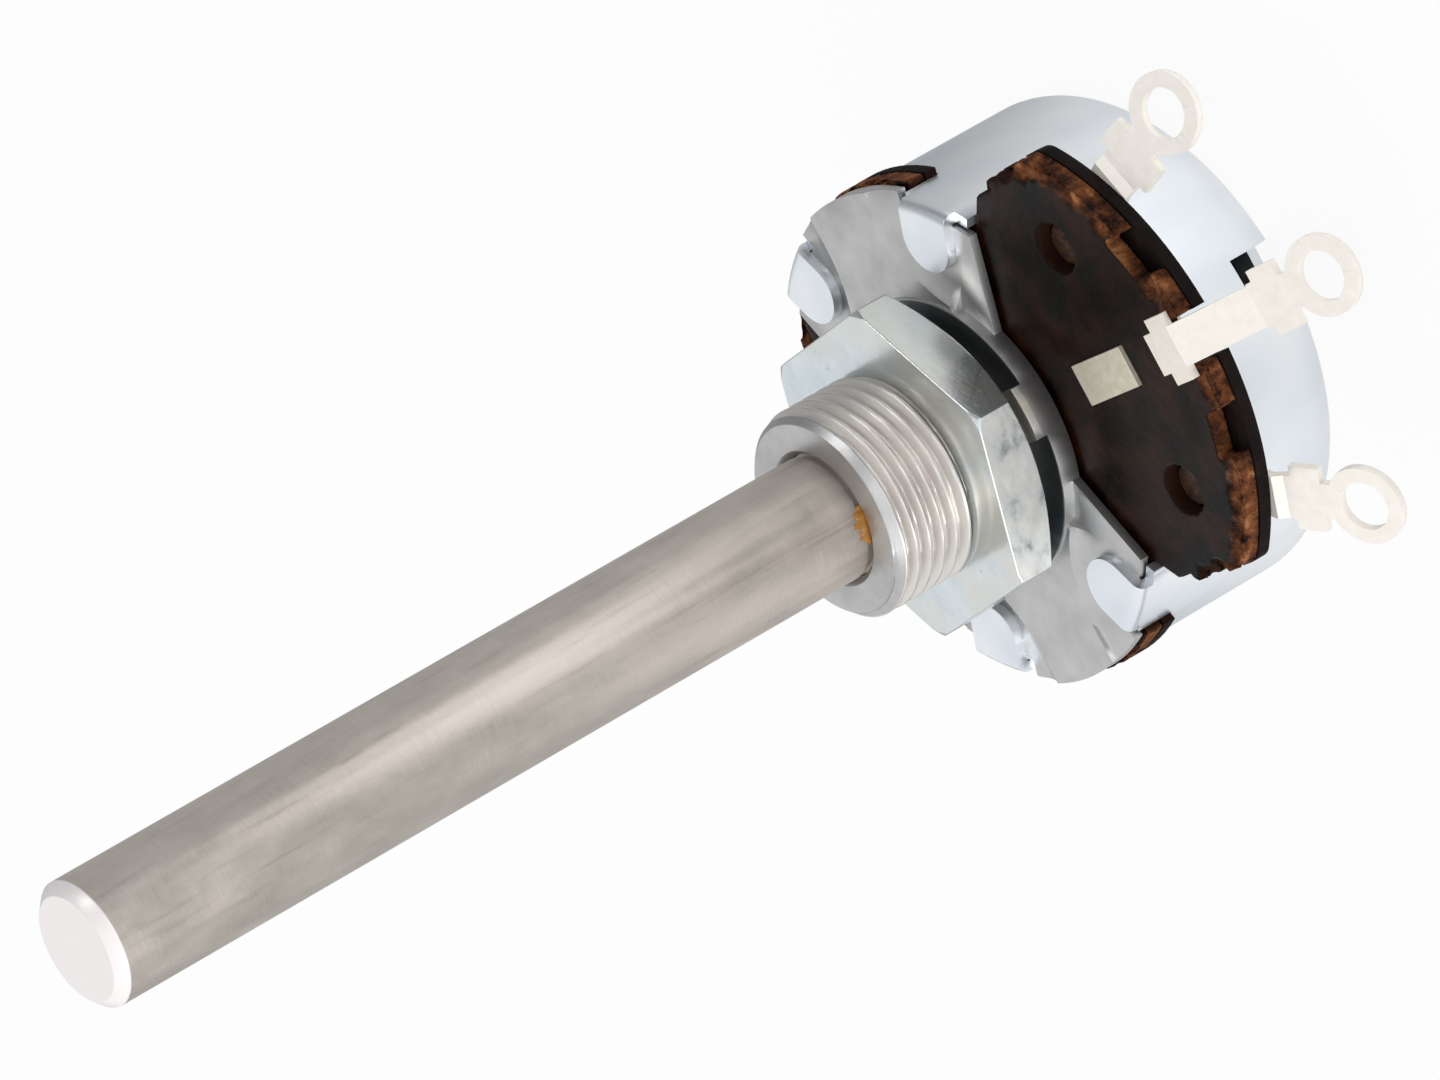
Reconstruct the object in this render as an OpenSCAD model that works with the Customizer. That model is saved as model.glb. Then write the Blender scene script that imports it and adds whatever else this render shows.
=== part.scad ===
// Single-turn rotary potentiometer with a long plain shaft, a threaded bushing and three solder lugs.
// Millimetres. The origin is on the shaft's axis at the mounting face, +Z runs out along the shaft,
// and the lugs point towards -Y.

/* [Shaft] */
// Diameter of the round shaft
shaft_d = 6; // [5:0.1:6.2]
// Length of the shaft in front of the mounting face
shaft_len = 50; // [20:0.5:70]
// Width of the chamfer at the shaft's free end
shaft_chamfer = 0.5; // [0.2:0.1:1]
// Step from the shaft down to the narrow tail behind the shoulder
tail_step = 0.6; // [0.4:0.05:0.9]
// Depth of each of the tail's two flats
flat_depth = 0.6; // [0.4:0.05:0.9]
// Thickness of the riveted head on the tail's end
tail_head = 0.5; // [0.3:0.1:0.8]
// Depth of the retaining groove
groove_depth = 0.55; // [0.3:0.05:0.8]
// Depth of the grease groove at the bushing's mouth
mouth_groove = 0.2; // [0.16:0.02:0.3]
// Width of that groove
mouth_groove_w = 0.6; // [0.55:0.05:0.8]

/* [Bushing] */
// Outer diameter of the bushing's thread
bush_d = 10; // [9:0.1:10]
// Pitch of that thread
thread_pitch = 0.75; // [0.5:0.05:1]
// Length of the bushing in front of the mounting face
bush_len = 8; // [6:0.1:12]
// Width of the bevel at the bushing's mouth
bush_bevel = 0.45; // [0.2:0.05:0.6]
// Width of the small countersink round the shaft
mouth_bevel = 0.25; // [0.1:0.05:0.4]
// Radial clearance between shaft and bore
shaft_play = 0.04; // [0.02:0.01:0.08]

/* [Mounting plate] */
// Radius of the round hub face
hub_r = 6.93; // [6.5:0.01:7.5]
// Height of the locating lug above the hub face
key_h = 0.6; // [0.4:0.1:1]
// Width of the locating lug
key_w = 2.5; // [1.5:0.1:3]
// Radial thickness of the locating lug
key_t = 1.1; // [0.8:0.1:1.5]
// How far the two arms stand out past the cover's wall
arm_proud = 0.15; // [0.1:0.01:0.3]
// Width of an arm's flat top
arm_w = 4.9; // [4:0.1:5.5]
// Step from the hub face down to the arms' tops
arm_step = 0.12; // [0.05:0.01:0.2]
// Width of the hollow flank between an arm's top and the pads
flank_w = 1.2; // [0.8:0.1:1.4]
// Radius of the sweep where an arm widens into the hub
flare_r = 5.9; // [5:0.1:6.5]
// Length of an arm's straight end, outside that sweep
arm_run = 1.95; // [1.5:0.05:2.5]
// Step from the hub face down to the four pads
pad_step = 0.55; // [0.5:0.01:0.7]
// Height of the plate's edge under the hub face
plate_edge = 1.0; // [0.95:0.01:1.1]
// Height of the raised seat on the plate's back
seat_h = 0.2; // [0.15:0.01:0.3]
// Distance from the axis to the point where the straight sides of two pads would meet
side_y = 4.35; // [4:0.05:5]
// Slope of the plate's straight sides, in degrees
side_slope = 23.5; // [20:0.5:28]
// Radius of the raised seat on the plate's back
seat_r = 5.9; // [5.5:0.1:6.3]

/* [Nut] */
// Width across the nut's flats
nut_af = 14; // [12.5:0.1:15]
// Thickness of the nut
nut_t = 2.6; // [2:0.1:3]
// Gap left between the nut and the hub face
nut_gap = 1; // [0.8:0.1:1.5]
// Turn of the nut about the axis, in degrees
nut_turn = -23.6; // [-30:0.1:30]
// Radial play of the nut's thread
thread_play = 0.03; // [0.02:0.01:0.05]
// How far the nut's round bearing face lies inside its flats
nut_face_in = 0.2; // [0.1:0.05:0.5]
// How far the engaged threads are drawn past each face of the nut
thread_over = 0.15; // [0.05:0.05:0.3]
// Width of the edge break on the nut's front corners
nut_break = 0.3; // [0.1:0.05:0.5]

/* [Terminal board] */
// Thickness of the front board
board_t = 0.95; // [0.8:0.05:1.2]
// Thickness of the board that carries the track
element_t = 0.65; // [0.5:0.05:0.9]
// How far the boards stand out of the cover's windows
board_proud = 0.3; // [0.2:0.05:0.6]
// Clearance between the retaining ring and the boards' centre hole
hole_clear = 0.25; // [0.2:0.05:0.4]
// Width of the apron that carries the lugs
apron_w = 20.1; // [19.8:0.1:21]
// Radius of the apron's outer edge
apron_r = 12.6; // [12.4:0.1:13.5]
// Distance from the cover's wall back to the centre of the apron's outer edge
apron_back = 5.73; // [5:0.01:6.3]
// Radius of the apron's corners
apron_corner = 1.2; // [0.8:0.1:1.5]
// Step between the two stretches of the apron's side
apron_step = 0.6; // [0.2:0.05:0.8]
// How far the round bump on the apron's side lies inside the cover's radius
bump_in = 1.2; // [0.8:0.1:1.8]
// Radius of that bump
bump_r = 0.8; // [0.5:0.05:1]
// How far the small round nick in the apron's side lies outside the cover's radius
nick_out = 0.25; // [0:0.05:0.4]
// Radius of that nick
nick_r = 0.45; // [0.3:0.05:0.5]
// Diameter of the two round holes in the front board
hole_d = 2.4; // [2:0.1:2.6]
// Distance of those holes from the middle line
hole_x = 5.9; // [5.5:0.1:6.3]
// How far those holes lie outside the cover's radius
hole_out = 0.8; // [0.6:0.1:1.2]
// Width of the middle lug's slot
slot_w = 2.2; // [2.1:0.1:2.6]
// Length of that slot
slot_len = 2.57; // [2.2:0.01:2.7]
// Distance from the middle line to the middle of a rim notch
rim_notch_x = 4.3; // [4:0.1:4.5]
// Width of a rim notch in the front board
rim_notch_w = 2.1; // [1.5:0.1:2.3]
// Depth of a rim notch in the front board
rim_notch_d = 1.15; // [0.8:0.05:1.5]

/* [Cover] */
// Outer diameter of the drawn cover
can_d = 23.6; // [23.4:0.1:23.8]
// Depth of the cover's back behind the mounting face
can_depth = 12.6; // [12.4:0.1:16]
// Thickness of the cover's sheet
can_t = 0.5; // [0.45:0.05:0.6]
// Outer radius of the cover's back corner
can_corner = 2.2; // [1.5:0.1:2.5]
// Angle from an arm to the middle of a folded tongue, in degrees
tongue_angle = 32.5; // [31:0.5:33]
// Width of a folded tongue
tongue_w = 3; // [2.6:0.1:3.2]
// Length of a tongue inside the wall
tongue_len = 2.7; // [2.3:0.1:2.9]
// Half of the angle that an upstand of the wall takes, in degrees
upstand_half = 10; // [9.5:0.1:10.5]
// Clearance between an upstand and the notch in the boards
upstand_play = 0.12; // [0.05:0.01:0.15]
// Depth of the opening in the wall under the apron
outlet_h = 1.9; // [1.2:0.1:2.5]
// Width of the stop tab and of the slot that it leaves
stop_w = 3.3; // [2.8:0.1:3.6]
// Length of the stop tab
stop_len = 2.7; // [2.4:0.1:2.9]

/* [Lugs] */
// Thickness of the lugs' brass strip
lug_t = 0.4; // [0.3:0.05:0.5]
// Outer diameter of the eyelet
eye_d = 3.7; // [3.4:0.1:4]
// Diameter of the eyelet's hole
eye_hole_d = 2.3; // [1.8:0.1:2.5]
// Width of a lug's shouldered plate
shoulder_w = 3.1; // [2.6:0.1:3.4]
// Length of a lug's shouldered plate
shoulder_len = 1.8; // [1.5:0.1:2.4]
// Width of the neck under the eyelet
neck_w = 1.7; // [1.3:0.1:2]
// Distance from the shouldered plate to the middle of the eyelet
neck_len = 2.1; // [2:0.1:2.8]
// Length of strip between a bend and the shoulders
strip_len = 0.35; // [0.2:0.05:0.5]
// Width of a lug's root strip
root_w = 2.1; // [1.8:0.1:2.2]
// How far a lug's round root stands out past its strip
root_lip = 0.25; // [0.1:0.05:0.4]
// Clearance between the board's rim and the bend after it
rim_clear = 0.1; // [0.05:0.05:0.3]
// Length that the bend itself takes
bend_run = 0.15; // [0.1:0.05:0.3]
// Backward bend of the lugs, in degrees
lug_bend = 18; // [10:1:30]
// Drop of the short cranked step behind the board's rim
crank_drop = 0.35; // [0.2:0.05:1]
// Length of that step
crank_len = 0.4; // [0.3:0.1:1]
// Turn of the lug on the +X side, in degrees
right_fan = 22.6; // [18:0.1:32]
// Turn of the lug on the -X side, in degrees
left_fan = 28.8; // [18:0.1:32]
// Width of the middle lug's clinched head
head_w = 3.15; // [2.8:0.05:3.4]
// Length of the middle lug's head and the narrow stretch before it
head_len = 1.9; // [1.6:0.1:2.2]
// Length over which the middle lug slants back through the slot
slant_len = 3.45; // [3:0.05:4]
// Depth by which it slants back
slant_drop = 2.35; // [2:0.05:2.8]

/* [Inside] */
// Thickness of the thrust washer
washer_t = 0.3; // [0.2:0.05:0.4]
// Thickness of the retaining ring
ring_t = 0.5; // [0.4:0.05:0.6]
// How far the thrust washer and the retaining ring stand out past the shaft
ring_w = 0.9; // [0.6:0.05:1]
// Small axial and radial gap between neighbouring pieces
fit_gap = 0.03; // [0.02:0.01:0.05]
// Thickness of the printed track and its end pads
print_t = 0.05; // [0.05:0.01:0.08]
// Width of the resistance track
track_w = 2; // [1.8:0.1:2.2]
// Angle that the track takes, in degrees
track_arc = 300; // [290:1:304]
// Gap between the boards' centre hole and the collector ring
collector_gap = 0.65; // [0.5:0.05:0.9]
// Width of the collector ring
collector_w = 1.4; // [1.2:0.1:1.5]
// Thickness of the collector's strip
collector_t = 0.2; // [0.15:0.05:0.25]
// Width of the collector's folded tail
link_w = 1.95; // [1.6:0.05:2.1]
// How far the tail's first passage through the boards lies inside the cover's radius
link_in = 2.3; // [2:0.1:2.6]
// Length of the tail's stretch on the front face
link_len = 3.9; // [3:0.1:4]
// Gap between the track's board and the rotor
rotor_gap = 1.8; // [1.6:0.1:2.2]
// Clearance between the rotor's flange and the cover's wall
rotor_clear = 1.5; // [1:0.1:1.9]
// Thickness of the rotor's flange
rotor_t = 1.2; // [1:0.1:1.5]
// Wall of the rotor's boss round the tail
boss_wall = 1.6; // [1.2:0.1:2.2]
// Thickness of the stop plate
stop_t = 0.8; // [0.6:0.1:1]
// Half of the angle that the stop plate's sector takes, in degrees
sector_half = 19.5; // [15:0.5:25]
// Thickness of the wiper's spring sheet
wiper_t = 0.25; // [0.2:0.05:0.3]
// Radius of the carbon brush
brush_r = 0.6; // [0.5:0.05:0.7]
// Height of the carbon brush
brush_h = 0.7; // [0.5:0.05:0.8]
// Radius of the wiper's two rivets
rivet_r = 0.5; // [0.4:0.05:0.6]
// How far those rivets lie inside the rotor's rim
rivet_in = 2.6; // [2.2:0.1:3]

/* [Hidden] */
$fn = 96;
eps = 0.01;
far = 40;

shaft_r = shaft_d / 2;
bore_r = shaft_r + shaft_play;
bush_r = bush_d / 2;
pitch_r = bush_r - 0.3248 * thread_pitch;
tail_d = shaft_d - 2 * tail_step;
tail_flats = tail_d - 2 * flat_depth;
nut_face_d = nut_af - 2 * nut_face_in;
plate_back = plate_edge + seat_h;
board_back = plate_back + board_t;
element_back = board_back + element_t;
can_r = can_d / 2;
can_in = can_r - can_t;
arm_reach = can_r + arm_proud;
flare_x = arm_reach - arm_run;
board_r = can_r + board_proud;
tongue_tip = can_in - tongue_len;
apron_centre = can_r - apron_back;
bump_y = can_r - bump_in;
nick_y = can_r + nick_out;
hole_y = can_r + hole_out;
slot_y = apron_centre + apron_r - slot_len;
link_y = can_r - link_in;
ring_r = shaft_r + ring_w;
board_hole_r = ring_r + hole_clear;
collector_in = board_hole_r + collector_gap;
boss_r = tail_d / 2 + boss_wall;
rotor_r = can_in - rotor_clear;
track_in = rotor_r - track_w;
notch_r = can_in - upstand_play;
pad_r = notch_r;
ring_front = plate_back + washer_t + fit_gap;
ring_back = ring_front + ring_t;
rotor_front = element_back + rotor_gap;
rotor_back = rotor_front + rotor_t;
stop_z = can_depth - can_t - stop_len + 0.1;
stop_front = stop_z - stop_t / 2 - can_t / 2;
brush_mid = track_in + track_w / 2;
collector_mid = collector_in + collector_w / 2;
tail_slot = link_w + 0.1;
corner_y = apron_centre + sqrt(pow(apron_r - apron_corner, 2) - pow(apron_w / 2 - apron_corner, 2));
flat_start = tongue_angle - upstand_half;
flat_end = tongue_angle + upstand_half;
four_corners = [[1, 1], [1, -1], [-1, 1], [-1, -1]];

// A flat wedge between two angles, used to cut sectors out of rings.
module wedge(a0, a1, r = far) {
    steps = 6;
    step = (a1 - a0) / steps;
    polygon(concat([[0, 0]], [for (i = [0:steps]) [r * cos(a0 + i * step), r * sin(a0 + i * step)]]));
}

// Repeats its children in the four quadrants.
module in_corners() {
    for (c = four_corners) scale_mirror(c) children();
}

module scale_mirror(c) {
    mirror([c[0] < 0 ? 1 : 0, 0, 0]) mirror([0, c[1] < 0 ? 1 : 0, 0]) children();
}

// Plan of the plate at pad height: round ends at the arms, notches for the upstands, straight slanted sides.
module plate_plan() {
    difference() {
        circle(arm_reach);
        in_corners() difference() {
            wedge(flat_start - 1, 90);
            circle(pad_r);
        }
        in_corners() translate([0, side_y]) rotate(side_slope) square([far, far]);
    }
    circle(hub_r);
}

// Plan of the two arms' flat tops, which widen in a sweep towards the hub.
module arm_plan() {
    intersection() {
        circle(arm_reach);
        square([2 * arm_reach, 2 * (arm_w / 2 + 2)], center = true);
        difference() {
            square([2 * arm_reach, 2 * arm_reach], center = true);
            in_corners() {
                translate([flare_x, arm_w / 2 + flare_r]) circle(flare_r);
                translate([flare_x, arm_w / 2]) square([far, far]);
            }
        }
    }
}

// Section of the hollow flank, which falls from the arm's edge to the pads.
module flank_section() {
    fall = pad_step - arm_step;
    hollow = [[0, 0], [0.22, 0.42], [0.55, 0.82], [1, 1.06]];
    polygon(concat([for (p = hollow) [p[0] * flank_w, -arm_step - p[1] * fall]],
                   [[flank_w, -pad_step - 0.2], [-0.3, -pad_step - 0.2], [-0.3, -arm_step - 0.1]]));
}

// The four flanks: straight along the arms, then round the sweep into the hub.
module arm_flanks() {
    sweep = acos(1 - 2 / flare_r) + 3;
    intersection() {
        in_corners() {
            translate([flare_x, arm_w / 2, 0]) rotate([90, 0, 90]) linear_extrude(arm_reach - flare_x)
                flank_section();
            translate([flare_x, arm_w / 2 + flare_r, 0]) rotate([0, 0, 270 - sweep])
                rotate_extrude(angle = sweep) translate([flare_r, 0]) mirror([1, 0]) flank_section();
        }
        translate([0, 0, -plate_edge]) cylinder(r = arm_reach, h = plate_edge);
    }
}

module mounting_plate() {
    color([0.69, 0.68, 0.67]) difference() {
        union() {
            translate([0, 0, -pad_step]) mirror([0, 0, 1]) linear_extrude(plate_edge - pad_step) plate_plan();
            translate([0, 0, -plate_edge]) cylinder(r = hub_r, h = plate_edge);
            translate([0, 0, -plate_edge]) linear_extrude(plate_edge - arm_step) arm_plan();
            arm_flanks();
            translate([0, 0, -plate_back]) cylinder(r = seat_r, h = seat_h + eps);
            translate([0, 0, -eps]) cylinder(r = bush_r, h = bush_len - bush_bevel + eps);
            translate([0, 0, bush_len - bush_bevel])
                cylinder(r1 = bush_r, r2 = bush_r - bush_bevel, h = bush_bevel);
            locating_key();
        }
        translate([0, 0, -far]) cylinder(r = bore_r, h = 2 * far);
        translate([0, 0, bush_len - mouth_bevel])
            cylinder(r1 = bore_r, r2 = bore_r + 2 * mouth_bevel, h = 2 * mouth_bevel);
        engaged_thread();
    }
}

// Inside the nut both threads are drawn at their pitch radius.
module engaged_thread() {
    run = nut_t + 2 * thread_over;
    translate([0, 0, nut_gap - thread_over]) difference() {
        cylinder(r = bush_r + 0.1, h = run);
        translate([0, 0, -eps]) cylinder(r = pitch_r, h = run + 2 * eps);
    }
}

// The small lug that stops the body from turning in the panel.
module locating_key() {
    translate([0, 0, -eps]) linear_extrude(key_h + eps) intersection() {
        difference() {
            circle(hub_r);
            circle(hub_r - key_t);
        }
        translate([-key_w / 2, -far]) square([key_w, far]);
    }
}

module hex_nut() {
    hex_r = nut_af / 2 / cos(30);
    cone = (hex_r - nut_face_d / 2) * tan(30);
    nip = nut_break * tan(30);
    color([0.76, 0.8, 0.83]) translate([0, 0, nut_gap]) intersection() {
        rotate(nut_turn) cylinder(r = hex_r, h = nut_t, $fn = 6);
        rotate_extrude() polygon([[pitch_r + thread_play, 0], [nut_face_d / 2, 0], [hex_r + eps, cone],
                                  [hex_r + eps, nut_t - nip], [hex_r - nut_break, nut_t],
                                  [pitch_r + thread_play, nut_t]]);
    }
}

// Wall and back of the drawn cup, as a profile turned about the axis.
module cup() {
    depth = can_depth;
    inner_corner = can_corner - can_t;
    rotate_extrude() difference() {
        union() {
            translate([0, -depth]) square([can_r - can_corner, depth - element_back]);
            translate([0, -depth + can_corner]) square([can_r, depth - can_corner - element_back]);
            intersection() {
                translate([can_r - can_corner, -depth + can_corner]) circle(can_corner);
                translate([0, -depth]) square([can_r, can_corner]);
            }
        }
        translate([0, -depth + can_t]) square([can_in - inner_corner, depth]);
        translate([0, -depth + can_corner]) square([can_in, depth]);
        intersection() {
            translate([can_in - inner_corner, -depth + can_corner]) circle(inner_corner);
            translate([0, -depth + can_t]) square([can_in, inner_corner]);
        }
    }
}

// Section of the folded sheet: the wall, a rounded bend and the tongue that lies on the plate.
module fold_section(low) {
    top = can_t - pad_step;
    difference() {
        union() {
            translate([can_in, low]) square([can_t, -pad_step - low + eps]);
            translate([tongue_tip - 1, -pad_step]) square([can_in - tongue_tip + 1, can_t]);
            translate([can_in, -pad_step]) circle(can_t, $fn = 64);
        }
        translate([can_in - far, -pad_step - far]) square([far, far]);
        translate([can_in - far, top]) square([2 * far, far]);
    }
}

// A strip of the wall that stands up past the boards, with a narrower tongue folded over the plate.
module upstand() {
    shoulder_z = -pad_step - 0.25;
    foot_z = -element_back - 0.1;
    intersection() {
        rotate_extrude() fold_section(foot_z);
        union() {
            translate([0, 0, foot_z - 1]) linear_extrude(shoulder_z - foot_z + 1) difference() {
                wedge(flat_start, flat_end, can_r + 2);
                circle(can_in - 2);
            }
            translate([0, 0, foot_z - 1]) linear_extrude(far) rotate(tongue_angle - 1.2) {
                translate([tongue_tip + tongue_w / 2, -tongue_w / 2]) square([can_in, tongue_w]);
                translate([tongue_tip + tongue_w / 2, 0]) circle(tongue_w / 2);
            }
        }
    }
}

module can_cover() {
    color([0.74, 0.78, 0.82]) {
        difference() {
            cup();
            translate([0, 0, -element_back - outlet_h]) linear_extrude(far) difference() {
                wedge(-180 + flat_end, -flat_end);
                circle(can_in / 2);
            }
            translate([-stop_w / 2, -far, -can_depth - eps])
                cube([stop_w, far - can_in + can_corner, stop_len + can_t + eps]);
        }
        in_corners() upstand();
        stop_tab();
    }
}

// The tab cut out of the wall and folded inwards, which the rotor's sector meets at each end of its travel.
module stop_tab() {
    translate([-stop_w / 2, -can_in - 0.2, -can_depth + stop_len + can_t])
        cube([stop_w, stop_len + 0.2 - can_t, can_t]);
}

// Common outline of the two boards.
module board_plan() {
    difference() {
        union() {
            circle(board_r);
            apron();
        }
        in_corners() difference() {
            wedge(flat_start - 0.7, flat_end + 0.7);
            circle(notch_r);
        }
        circle(board_hole_r);
        translate([-slot_w / 2, -far - slot_y]) square([slot_w, far]);
        for (y = [link_y, link_y + link_len])
            translate([-tail_slot / 2, -y - collector_t - 0.05]) square([tail_slot, collector_t + 0.1]);
    }
}

// Apron with an arched outer edge, rounded corners and a stepped side with a bump and a nick.
module apron() {
    run_x = apron_w / 2 - apron_corner;
    run_y = corner_y - apron_centre;
    half = atan2(run_x, run_y);
    difference() {
        union() {
            intersection() {
                translate([0, -apron_centre]) circle(apron_r);
                translate([-apron_w / 2, -corner_y]) square([apron_w, corner_y - side_y]);
            }
            intersection() {
                translate([0, -apron_centre]) circle(apron_r);
                translate([0, -apron_centre]) wedge(-90 - half, -90 + half);
            }
            for (s = [-1, 1]) translate([s * run_x, -corner_y]) circle(apron_corner);
        }
        for (s = [-1, 1]) {
            translate([s * apron_w / 2, -nick_y]) circle(nick_r);
            difference() {
                translate([s * (apron_w / 2 - apron_step / 2), -nick_y + (nick_y - side_y) / 2])
                    square([apron_step + eps, nick_y - side_y + 2 * eps], center = true);
                translate([s * (apron_w / 2 - 0.1 - bump_r), -bump_y]) circle(bump_r);
            }
        }
    }
}

module terminal_board() {
    color([0.2, 0.14, 0.12]) translate([0, 0, -board_back]) linear_extrude(board_t) difference() {
        board_plan();
        for (s = [-1, 1]) {
            translate([s * hole_x, -hole_y]) circle(hole_d / 2);
            translate([s * rim_notch_x, -apron_centre]) difference() {
                translate([-rim_notch_w / 2, -far]) square([rim_notch_w, far]);
                translate([-s * rim_notch_x, 0]) circle(apron_r - rim_notch_d);
            }
        }
    }
}

module element_board() {
    color([0.11, 0.09, 0.08]) translate([0, 0, -element_back]) linear_extrude(element_t) difference() {
        board_plan();
        for (s = [-1, 1]) translate([s * hole_x, -hole_y]) circle(lug_rivet_r);
    }
}

lug_rivet_r = hole_d / 2 - 0.4;
pad_half = track_w / 2 - 0.1;

module carbon_track() {
    a0 = 90 - track_arc / 2;
    color([0.09, 0.09, 0.1]) translate([0, 0, -element_back - print_t]) linear_extrude(print_t) difference() {
        intersection() {
            circle(track_in + track_w);
            union() {
                wedge(a0, 90);
                wedge(90, 180 - a0);
            }
        }
        circle(track_in);
    }
}

// Silvered paths from the two ends of the track to the outer lugs' rivets.
module end_pads() {
    a0 = 90 - track_arc / 2;
    reach = hole_y - lug_root_r - fit_gap;
    color([0.8, 0.8, 0.78]) translate([0, 0, -element_back - print_t]) linear_extrude(print_t)
        for (s = [0, 1]) mirror([s, 0, 0]) difference() {
            polygon([[brush_mid * cos(a0) - pad_half, brush_mid * sin(a0)],
                     [brush_mid * cos(a0) + pad_half, brush_mid * sin(a0)],
                     [hole_x + pad_half, -reach], [hole_x - pad_half, -reach]]);
            intersection() {
                circle(track_in + track_w + fit_gap);
                wedge(a0 - 0.4, 90);
            }
        }
}

lug_root_r = root_w / 2 + root_lip;

// Collector ring with a tail that passes through both boards, crosses the front face and returns.
module collector_ring() {
    back = element_back + collector_t;
    front = plate_back - collector_t;
    link_end = link_y + link_len;
    color([0.84, 0.82, 0.77]) {
        translate([0, 0, -back]) linear_extrude(collector_t) {
            difference() {
                circle(collector_in + collector_w);
                circle(collector_in);
            }
            translate([-link_w / 2, -link_y - collector_t])
                square([link_w, link_y + collector_t - collector_in - collector_w / 2]);
            translate([-link_w / 2, -slot_y + fit_gap]) square([link_w, slot_y - fit_gap - link_end]);
        }
        translate([-link_w / 2, -link_y - collector_t, -back]) cube([link_w, collector_t, back - front]);
        translate([-link_w / 2, -link_end - collector_t, -back]) cube([link_w, collector_t, back - front]);
        translate([-link_w / 2, -link_end - collector_t, -plate_back])
            cube([link_w, link_len + collector_t, collector_t]);
    }
}

// Tilted outer blade of a solder lug: shouldered plate, neck and eyelet. It starts at the origin along +X.
module lug_blade() {
    eye_x = shoulder_len + neck_len;
    rotate([0, lug_bend, 0]) translate([0, 0, -lug_t]) difference() {
        linear_extrude(lug_t) {
            translate([0, -root_w / 2]) square([strip_len + lug_t / 4, root_w]);
            translate([strip_len, -shoulder_w / 2]) square([shoulder_len - strip_len, shoulder_w]);
            translate([shoulder_len - eps, -neck_w / 2]) square([neck_len, neck_w]);
            translate([eye_x, 0]) circle(eye_d / 2);
        }
        translate([eye_x, 0, -lug_t]) cylinder(d = eye_hole_d, h = 3 * lug_t);
    }
}

// Distance from a lug's rivet to the apron's outer edge, along the lug.
function rim_run(fan) = let (along = hole_x * sin(fan) + (hole_y - apron_centre) * cos(fan))
    sqrt(along * along + apron_r * apron_r - hole_x * hole_x - pow(hole_y - apron_centre, 2)) - along;

// Outer lug: a round root under the board, a strip past the rim, a cranked step and the blade.
module outer_lug(fan) {
    strip_end = rim_run(fan) + rim_clear;
    crank_end = crank_len + bend_run;
    linear_extrude(lug_t) difference() {
        union() {
            circle(lug_root_r);
            translate([0, -root_w / 2]) square([strip_end, root_w]);
        }
        circle(lug_rivet_r);
    }
    translate([strip_end, root_w / 2, 0]) rotate([90, 0, 0]) linear_extrude(root_w)
        polygon([[-eps, lug_t], [bend_run, lug_t], [crank_end, lug_t - crank_drop],
                 [crank_end - lug_t * sin(lug_bend), lug_t - crank_drop - lug_t * cos(lug_bend)],
                 [0, 0], [-eps, 0]]);
    translate([strip_end + crank_end - eps, 0, lug_t - crank_drop]) lug_blade();
}

module placed_outer_lug(side, fan) {
    color([0.88, 0.86, 0.82]) translate([side * hole_x, -hole_y, -element_back - lug_t])
        rotate(-90 + side * fan) outer_lug(fan);
}

module right_lug() {
    placed_outer_lug(1, right_fan);
}

module left_lug() {
    placed_outer_lug(-1, left_fan);
}

// Middle lug: a head on the front face whose ears bridge the slot, a slanted strip through it and the blade.
module centre_lug() {
    start = slot_y + 0.05;
    under = lug_t * tan(atan2(slant_drop, slant_len) / 2);
    color([0.9, 0.88, 0.84]) translate([0, -start, -plate_back]) rotate(-90) {
        translate([0, -link_w / 2, 0]) cube([head_len, link_w, lug_t]);
        translate([0.6, -head_w / 2, 0]) cube([head_len - 0.6, head_w, lug_t]);
        translate([head_len, link_w / 2, 0]) rotate([90, 0, 0]) linear_extrude(link_w)
            polygon([[-0.3, 0], [-0.3, lug_t], [0, lug_t], [slant_len, lug_t - slant_drop],
                     [slant_len - lug_t * sin(lug_bend), lug_t - slant_drop - lug_t * cos(lug_bend)],
                     [-under, 0]]);
        translate([head_len + slant_len - eps, 0, lug_t - slant_drop]) lug_blade();
    }
}

module lug_rivets() {
    head = 0.3;
    color([0.8, 0.76, 0.68]) for (s = [-1, 1]) translate([s * hole_x, -hole_y, 0]) {
        translate([0, 0, -element_back - lug_t])
            cylinder(r = lug_rivet_r - fit_gap, h = element_t + lug_t + head);
        translate([0, 0, -board_back]) cylinder(r = lug_rivet_r + 0.2, h = head);
        translate([0, 0, -element_back - lug_t - head]) cylinder(r = lug_rivet_r + 0.4, h = head);
    }
}

module thrust_washer() {
    color([0.9, 0.88, 0.8]) translate([0, 0, -plate_back - washer_t]) difference() {
        cylinder(r = ring_r, h = washer_t);
        translate([0, 0, -eps]) cylinder(r = bore_r, h = washer_t + 2 * eps);
    }
}

module shaft() {
    color([0.72, 0.69, 0.66]) difference() {
        union() {
            translate([0, 0, -rotor_front])
                cylinder(r = shaft_r, h = rotor_front + shaft_len - shaft_chamfer);
            translate([0, 0, shaft_len - shaft_chamfer])
                cylinder(r1 = shaft_r, r2 = shaft_r - shaft_chamfer, h = shaft_chamfer);
            translate([0, 0, -stop_front - stop_t]) tail(stop_front + stop_t - rotor_front + eps, 0);
            translate([0, 0, -stop_front - stop_t - tail_head]) cylinder(d = tail_d + 0.8, h = tail_head);
        }
        translate([0, 0, -ring_back - fit_gap]) difference() {
            cylinder(r = far, h = ring_t + 2 * fit_gap);
            translate([0, 0, -eps]) cylinder(r = shaft_r - groove_depth, h = far);
        }
        translate([0, 0, bush_len + 0.05 - mouth_groove_w]) difference() {
            cylinder(r = far, h = mouth_groove_w);
            translate([0, 0, -eps]) cylinder(r = shaft_r - mouth_groove, h = far);
        }
    }
}

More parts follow.
